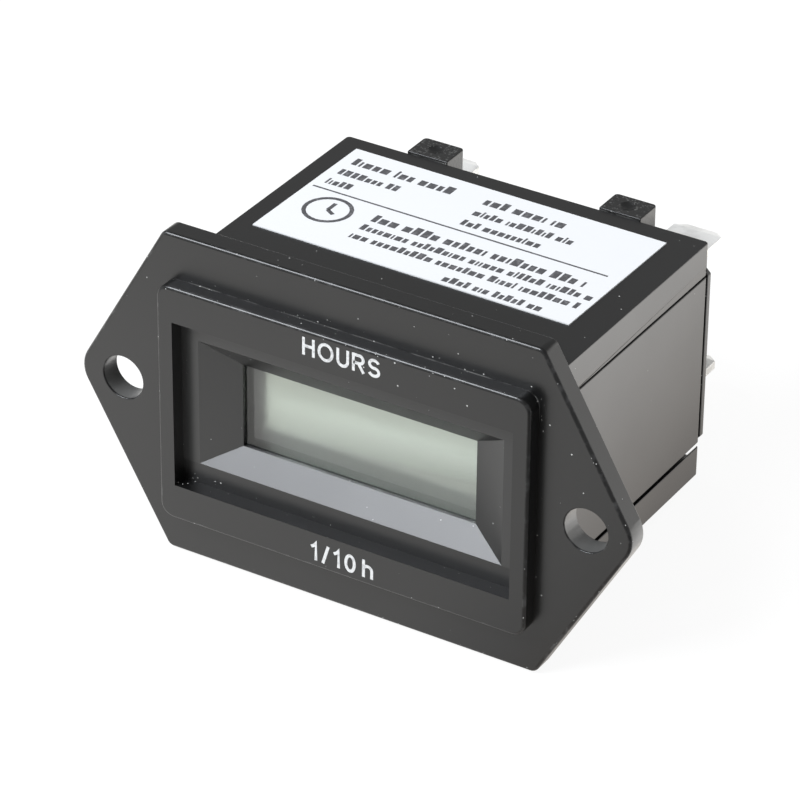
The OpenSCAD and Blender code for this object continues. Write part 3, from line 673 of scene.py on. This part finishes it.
# Label: white film with a satin coat, stuck by hand a little askew on the top plate. Its print is generic:
# a plain clock mark, a rule, and rows of small grey blocks.
film_white = (0.76, 0.768, 0.775, 1)
film_shade = (0.73, 0.74, 0.75, 1)
film_cloud = 4 * MM
film_speck = (2.2 * MM, 0.07 * MM)
film_share = 0.10
film_gloss = (0.42, 0.52)
film_grain = 0.5 * MM
film_relief = 0.003 * MM
ink_grey = (0.070, 0.070, 0.075, 1)
ink_pale = (0.20, 0.20, 0.21, 1)
ink_starved = 0.5 * MM
label = frame["nodes"]["top_label"]
label_low, label_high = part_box("top_label")
label_middle = (label_low + label_high) / 2
label_turn = math.radians(-0.7)


def coated_film(name):
    """White film: faint cloud in the coat and a few specks of dust on it."""
    finish = Finish(name)
    cloud = finish.noise(film_cloud, detail=5)
    specks = finish.specks(*film_speck, film_share)
    film = finish.blend(cloud, film_white, film_shade)
    finish.set(Base_Color=finish.blend(specks, film, dust_grey), Roughness=finish.span(cloud, *film_gloss))
    finish.bump(finish.noise(film_grain), film_relief)
    return finish.material


def label_ink(name):
    """Transfer-printed grey, starved in small patches."""
    finish = Finish(name)
    starved = finish.span(finish.noise(ink_starved, detail=6), 0, 1, 0.50, 0.80)
    finish.set(Base_Color=finish.blend(starved, ink_grey, ink_pale), Roughness=0.5)
    return finish.material


def on_label(point):
    """Point of the label's own plan, measured from its middle in millimetres, on its printed face."""
    turned = Matrix.Rotation(label_turn, 2) @ (Vector(point) * MM)
    return (label_middle.x + turned.x, label_middle.y + turned.y, label_high.z)


dress(label, "label_film", coated_film("label_film"))
label_print = bmesh.new()
# Rows of blocks, each as its foot's place on the label, its tallest block's height, and its two ends
block_rows = [(5.5, 1.25, -15.0, -4.4), (5.5, 1.25, -1.5, 6.7), (3.4, 1.0, -15.0, -8.4),
              (3.4, 1.0, -1.2, 9.0), (1.4, 1.0, -15.0, -12.0), (1.4, 1.0, -1.2, 7.2),
              (-2.3, 1.25, -8.0, 13.6), (-4.0, 1.0, -8.0, 15.0), (-5.7, 1.0, -8.0, 14.6),
              (-7.8, 1.0, 2.6, 12.6)]
# As shares of a row's height: the blocks' widths and heights, the gaps, and what may stay free at the end
block_widths = (0.18, 0.40, 0.48, 0.55, 0.62)
block_heights = (0.72, 0.72, 0.72, 1.0)
block_gap = 0.17
group_gap = 0.35
row_rest = 0.4
group_blocks = (3, 9)
rule_height = 0.45
rule_ends = (-15.2, 14.4)
rule_width = 0.20
clock_middle = (-11.7, -2.6)
clock_radius = 2.1
clock_line = 0.38
clock_hands = ((1.3, 90), (0.95, -30))
block_draw = random.Random(7)
for foot, row_height, left, right in block_rows:
    blocks_left = 0
    while right - left > row_rest * row_height:
        if blocks_left == 0:
            left += group_gap * row_height
            blocks_left = block_draw.randint(*group_blocks)
        wide = row_height * block_draw.choice(block_widths)
        tall = row_height * block_draw.choice(block_heights)
        ribbon(label_print, [(left, foot + tall / 2), (left + wide, foot + tall / 2)], tall, on_label)
        left += wide + block_gap * row_height
        blocks_left -= 1
ribbon(label_print, [(rule_ends[0], rule_height), (rule_ends[1], rule_height)], rule_width, on_label)
ribbon(label_print, arc(*clock_middle, clock_radius, clock_radius, 0, 360), clock_line, on_label)
for hand, angle in clock_hands:
    tip = arc(*clock_middle, hand, hand, angle, angle)[0]
    ribbon(label_print, [clock_middle, tip], clock_line, on_label)
printed("label_print", label_print, label_ink("label_ink"), (0, 0, 1))

# Table: a white sheet under the meter, which leans on its flange and the rear edge of its body. To the eye
# the sheet is white and keeps the meter's soft shadow. In mirrors it is brighter at the left, at the right
# and behind the meter than in front, and it fades further off.
table_white = (0.90, 0.90, 0.895, 1)
table_shade = (0.88, 0.88, 0.875, 1)
table_cloud = 40 * MM
glow_share = 0.86
glow_seen = 1.06
glow_warm = (1.0, 0.99, 0.97, 1)
glow_close = (1.0, 0.94, 0.88, 1)
glow_here = 1.25
glow_towards = (-6.5, 1.2, 0)
glow_limits = (0.5, 2.0)
glow_ahead = 0.4
ahead_span = (4 * MM, 40 * MM)
glow_right = (0.95, 2.75)
right_span = (18 * MM, 38 * MM)
beside_span = (-2 * MM, 10 * MM)
glow_behind = 2.3
behind_span = (40 * MM, 60 * MM)
glow_far = 0.3
far_span = (70 * MM, 200 * MM)
close_from = (14 * MM, 19 * MM)
close_to = (20 * MM, 36 * MM)
table_reach = 3.0
body_back = 26.9 * MM
body_low = -11.4 * MM
flange_foot = Vector((0, 0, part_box("front_housing")[0].z))
lean = (Vector((0, body_back, body_low)) - flange_foot).normalized()


def white_sheet():
    """Matt white that glows in part to the eye, and doesn't hide the meter from below."""
    finish = Finish("table_sheet")
    finish.set(Base_Color=finish.blend(finish.noise(table_cloud), table_white, table_shade), Roughness=0.9)
    path = finish.node("ShaderNodeLightPath")
    axes = finish.axes()
    climb = finish.node("ShaderNodeVectorMath", {0: finish.place, 1: glow_towards}, operation="DOT_PRODUCT")
    left = finish.math("ADD", climb.outputs["Value"], glow_here)
    left = finish.span(left, *glow_limits, *glow_limits)
    left = finish.math("MULTIPLY", left, finish.span(axes["X"], 1, glow_ahead, *ahead_span))
    beside = finish.span(axes["Y"], 0, 1, *beside_span)
    right = finish.math("MULTIPLY", finish.span(axes["X"], *glow_right, *right_span), beside)
    reach = finish.node("ShaderNodeVectorMath", {0: finish.place}, operation="LENGTH").outputs["Value"]
    fading = finish.span(reach, 1.0, glow_far, *far_span)
    behind = finish.span(axes["Y"], 0, glow_behind, *behind_span)
    brightest = finish.math("MAXIMUM", finish.math("MAXIMUM", left, right), behind)
    strength = finish.math("MULTIPLY", brightest, fading)
    starts = finish.span(axes["X"], 0, 1, *close_from)
    ends = finish.span(axes["X"], 1, 0, *close_to)
    tint = finish.blend(finish.math("MULTIPLY", starts, ends), glow_warm, glow_close)
    mirrored = finish.node("ShaderNodeEmission", {"Color": tint, "Strength": strength})
    seen = finish.node("ShaderNodeEmission", {"Strength": glow_seen})
    share = finish.math("MULTIPLY", path.outputs["Is Camera Ray"], glow_share)
    lit = finish.mix(share, finish.surface.outputs[0], seen.outputs[0])
    in_mirrors = finish.math("MAXIMUM", path.outputs["Is Glossy Ray"], path.outputs["Is Transmission Ray"])
    sheet = finish.mix(in_mirrors, lit, mirrored.outputs[0])
    under = finish.node("ShaderNodeNewGeometry").outputs["Backfacing"]
    clear = finish.node("ShaderNodeBsdfTransparent")
    finish.show(finish.mix(under, sheet, clear.outputs[0]))
    return finish.material


sheet_mesh = bmesh.new()
for x, along in ((-1, -1), (1, -1), (1, 1), (-1, 1)):
    sheet_mesh.verts.new(flange_foot + Vector((x * table_reach, 0, 0)) + lean * along * table_reach)
sheet_mesh.faces.new(sheet_mesh.verts)
sheet_data = bpy.data.meshes.new("table")
sheet_mesh.to_mesh(sheet_data)
sheet_mesh.free()
sheet_data.materials.append(white_sheet())
table = bpy.data.objects.new("table", sheet_data)
bpy.context.scene.collection.objects.link(table)

# Room and lamps: the room is white to the eye, and in mirrors grey and darker overhead. A large softbox
# stands at the front left, which the funnel's lower slope mirrors, and a weak one behind at the right.
room = bpy.data.worlds.new("room")
bpy.context.scene.world = room
room.use_nodes = True
room_light = 0.52
room_horizon = 0.68
room_overhead = 0.34
room_rise = 0.5
meter_middle = (cad_box[0] + cad_box[1]) / 2


def white_room():
    """White to the eye, grey and darker overhead in mirrors, and plain soft light for everything else."""
    nodes, links = room.node_tree.nodes, room.node_tree.links
    path = nodes.new("ShaderNodeLightPath")
    towards = nodes.new("ShaderNodeSeparateXYZ")
    links.new(nodes.new("ShaderNodeTexCoord").outputs["Generated"], towards.inputs[0])
    rise = nodes.new("ShaderNodeMapRange")
    rise.interpolation_type = "SMOOTHSTEP"
    links.new(towards.outputs["Z"], rise.inputs["Value"])
    rise.inputs["From Max"].default_value = room_rise
    rise.inputs["To Min"].default_value = room_horizon
    rise.inputs["To Max"].default_value = room_overhead
    mirrored = nodes.new("ShaderNodeMath")
    mirrored.operation = "MAXIMUM"
    links.new(path.outputs["Is Glossy Ray"], mirrored.inputs[0])
    links.new(path.outputs["Is Transmission Ray"], mirrored.inputs[1])
    strength = nodes.new("ShaderNodeMix")
    links.new(mirrored.outputs[0], strength.inputs["Factor"])
    strength.inputs["A"].default_value = room_light
    links.new(rise.outputs[0], strength.inputs["B"])
    seen = nodes.new("ShaderNodeMix")
    links.new(path.outputs["Is Camera Ray"], seen.inputs["Factor"])
    links.new(strength.outputs[0], seen.inputs["A"])
    seen.inputs["B"].default_value = 1.0
    links.new(seen.outputs[0], nodes["Background"].inputs["Strength"])
    nodes["Background"].inputs["Color"].default_value = (1, 1, 1, 1)


def softbox(name, towards, distance, width, height, radiance, colour):
    """Rectangular lamp that faces the meter from a direction, as bright as radiance all over."""
    data = bpy.data.lights.new(name, "AREA")
    data.shape = "RECTANGLE"
    data.size, data.size_y = width, height
    data.energy = math.pi * width * height * radiance
    data.color = colour
    lamp = bpy.data.objects.new(name, data)
    way = Vector(towards).normalized()
    lamp.location = meter_middle + way * distance
    lamp.rotation_mode = "QUATERNION"
    lamp.rotation_quaternion = way.to_track_quat("Z", "Y")
    bpy.context.scene.collection.objects.link(lamp)


white_room()
softbox("front_softbox", towards=(-0.418, -0.585, 0.695), distance=0.75, width=0.50, height=0.28,
        radiance=17.0, colour=(0.91, 0.945, 1.0))
softbox("side_softbox", towards=(0.64, 0.70, 0.28), distance=0.70, width=0.45, height=0.30,
        radiance=1.2, colour=(1.0, 0.985, 0.96))

# Camera: at the front right of the meter and above it, with a long lens. Its place and directions come
# from a fit to edges of the real meter, and the three directions are kept square to each other.
bpy.context.scene.view_settings.view_transform = "Standard"
eye = Vector((166.4, -268.8, 195.1)) * MM
eye_right = Vector((0.85289, 0.52202, 0.00844)).normalized()
eye_back = Vector((0.44306, -0.73224, 0.51723)).normalized()
eye_up = eye_back.cross(eye_right).normalized()
eye_right = eye_up.cross(eye_back)
camera_data = bpy.data.cameras.new("camera")
camera_data.sensor_width = 36.0
camera_data.lens = 198.75
camera_data.clip_start = 0.01
camera = bpy.data.objects.new("camera", camera_data)
turn = Matrix((eye_right, eye_up, eye_back)).transposed()
camera.matrix_world = Matrix.Translation(eye) @ turn.to_4x4()
bpy.context.scene.collection.objects.link(camera)
bpy.context.scene.camera = camera
